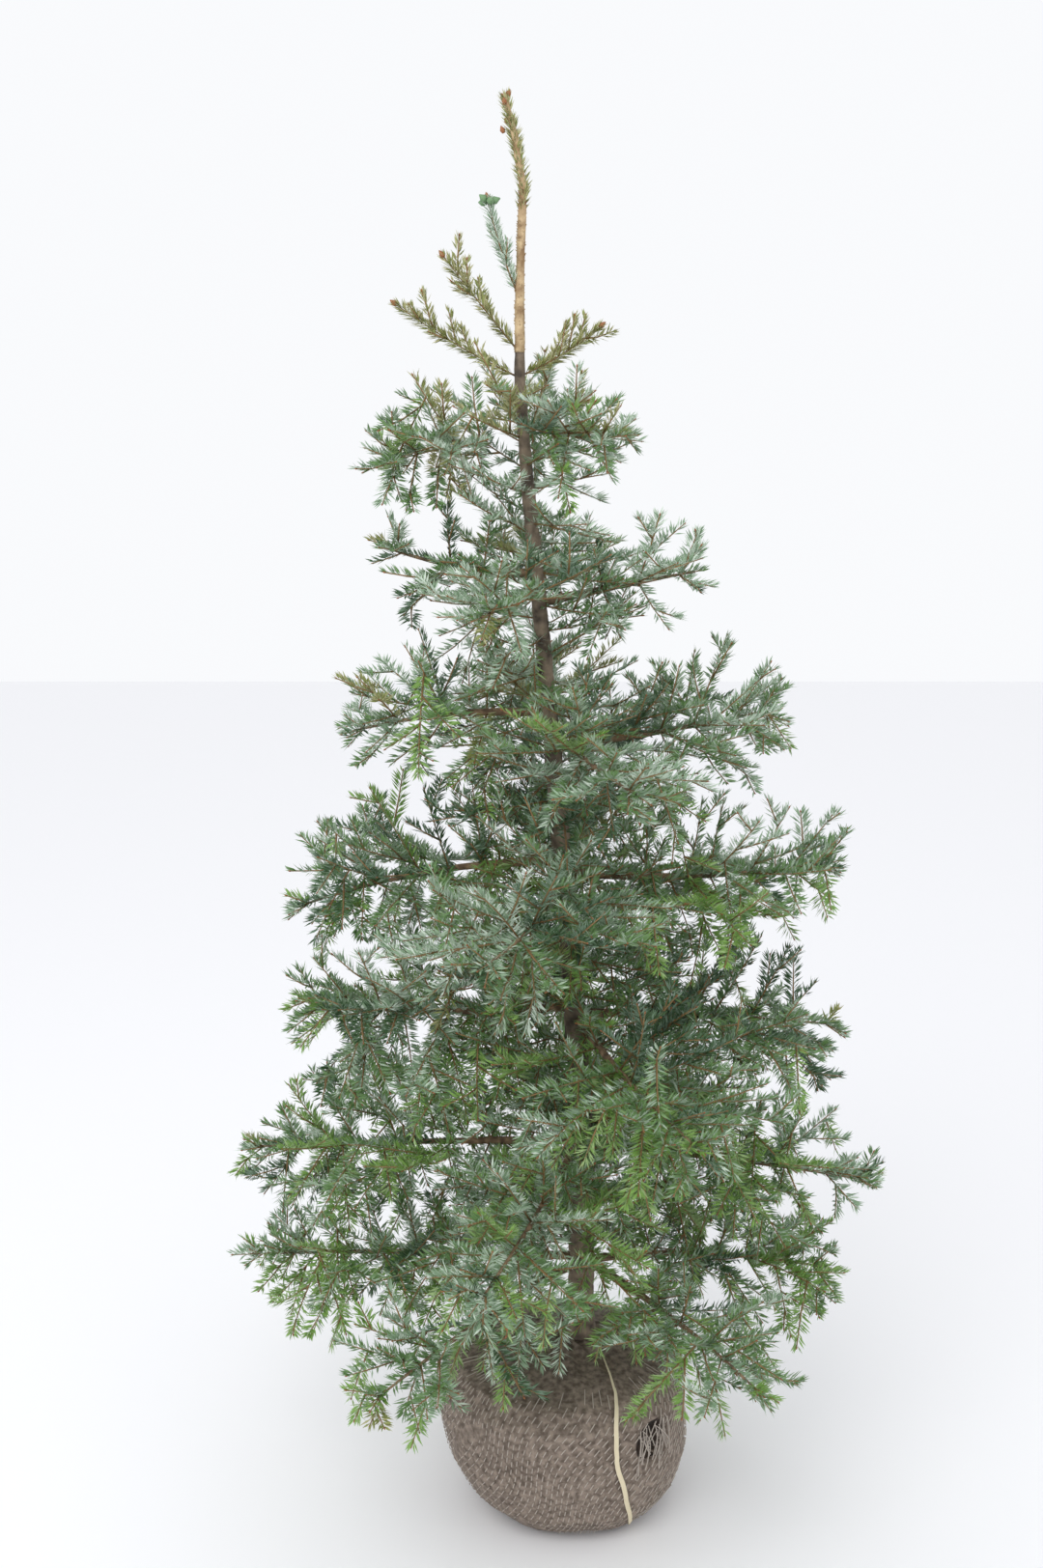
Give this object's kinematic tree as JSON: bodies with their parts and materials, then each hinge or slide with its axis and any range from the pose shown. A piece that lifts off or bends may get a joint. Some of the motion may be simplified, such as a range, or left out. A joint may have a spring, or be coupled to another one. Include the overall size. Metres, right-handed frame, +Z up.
{
  "type": "serbian spruce tree on a root ball",
  "caption": "Young slender spruce with drooping tiers of short needles and a bare leader, standing on its hessian-wrapped root ball.",
  "frame": {"origin": "on the root ball's flat underside, straight below the middle of its belly", "axes": "+Z up along the trunk, +X to the right and -Y towards a viewer in front of the tree"},
  "size_m": [0.8713, 0.7509, 1.8626],
  "materials": {
    "bark": "rough scaly bark",
    "needles": "dark green needles with pale blue-green undersides",
    "hessian": "coarse open jute net over brown earth",
    "string": "flat pale fibre string"
  },
  "bodies": {
    "root": {"trunk": "bark", "root_ball": "hessian", "tie_string": "string", "leader_shoot_1": "needles", "leader_shoot_2": "needles", "leader_shoot_3": "needles", "leader_shoot_4": "needles", "top_spray_1": "needles", "top_spray_2": "needles", "top_spray_3": "needles", "bough_high_1": "bark", "needles_high_1": "needles", "bough_high_2": "bark", "needles_high_2": "needles", "bough_high_3": "bark", "needles_high_3": "needles", "bough_high_4": "bark", "needles_high_4": "needles", "bough_upper_1": "bark", "needles_upper_1": "needles", "bough_upper_2": "bark", "needles_upper_2": "needles", "bough_upper_3": "bark", "needles_upper_3": "needles", "bough_upper_4": "bark", "needles_upper_4": "needles", "bough_middle_1": "bark", "needles_middle_1": "needles", "bough_middle_2": "bark", "needles_middle_2": "needles", "bough_middle_3": "bark", "needles_middle_3": "needles", "bough_middle_4": "bark", "needles_middle_4": "needles", "bough_broad_1": "bark", "needles_broad_1": "needles", "bough_broad_2": "bark", "needles_broad_2": "needles", "bough_broad_3": "bark", "needles_broad_3": "needles", "bough_broad_4": "bark", "needles_broad_4": "needles", "bough_low_1": "bark", "needles_low_1": "needles", "bough_low_2": "bark", "needles_low_2": "needles", "bough_low_3": "bark", "needles_low_3": "needles", "bough_low_4": "bark", "needles_low_4": "needles", "bough_skirt_1": "bark", "needles_skirt_1": "needles", "bough_skirt_2": "bark", "needles_skirt_2": "needles", "bough_skirt_3": "bark", "needles_skirt_3": "needles", "bough_skirt_4": "bark", "needles_skirt_4": "needles", "bough_skirt_5": "bark", "needles_skirt_5": "needles"}
  },
  "joints": []
}
